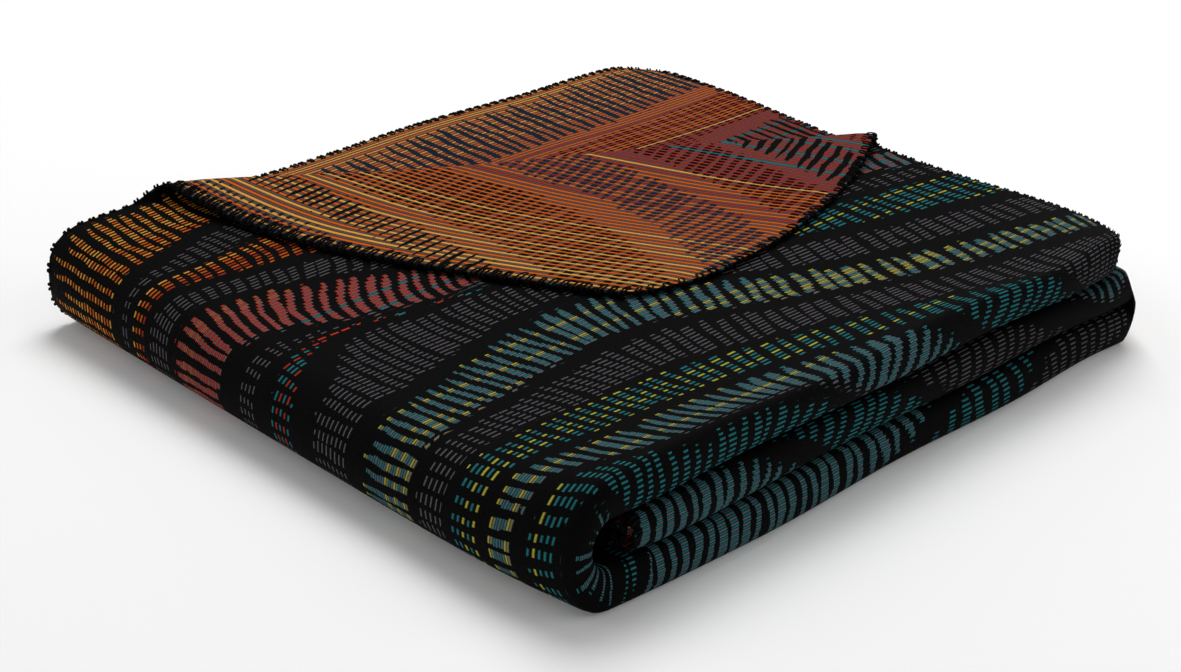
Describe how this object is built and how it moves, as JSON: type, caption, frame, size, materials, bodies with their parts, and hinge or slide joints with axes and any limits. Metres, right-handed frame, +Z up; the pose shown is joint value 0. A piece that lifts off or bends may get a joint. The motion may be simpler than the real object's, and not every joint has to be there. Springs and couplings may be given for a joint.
{
  "type": "folded basotho blanket",
  "caption": "Woven blanket folded flat in quarters and thirds, with its top far corner turned back to show the other side.",
  "frame": {"origin": "middle of the underside, on the surface that the folded blanket lies on", "axes": "+Z up; +X from the rounded left fold to the right end; +Y from the side with the three folds to the back, where the free edges are"},
  "size_m": [0.4514, 0.4078, 0.0681],
  "materials": {
    "woven_wool": "matte woven wool"
  },
  "bodies": {
    "root": {"blanket": "woven_wool"}
  },
  "joints": []
}
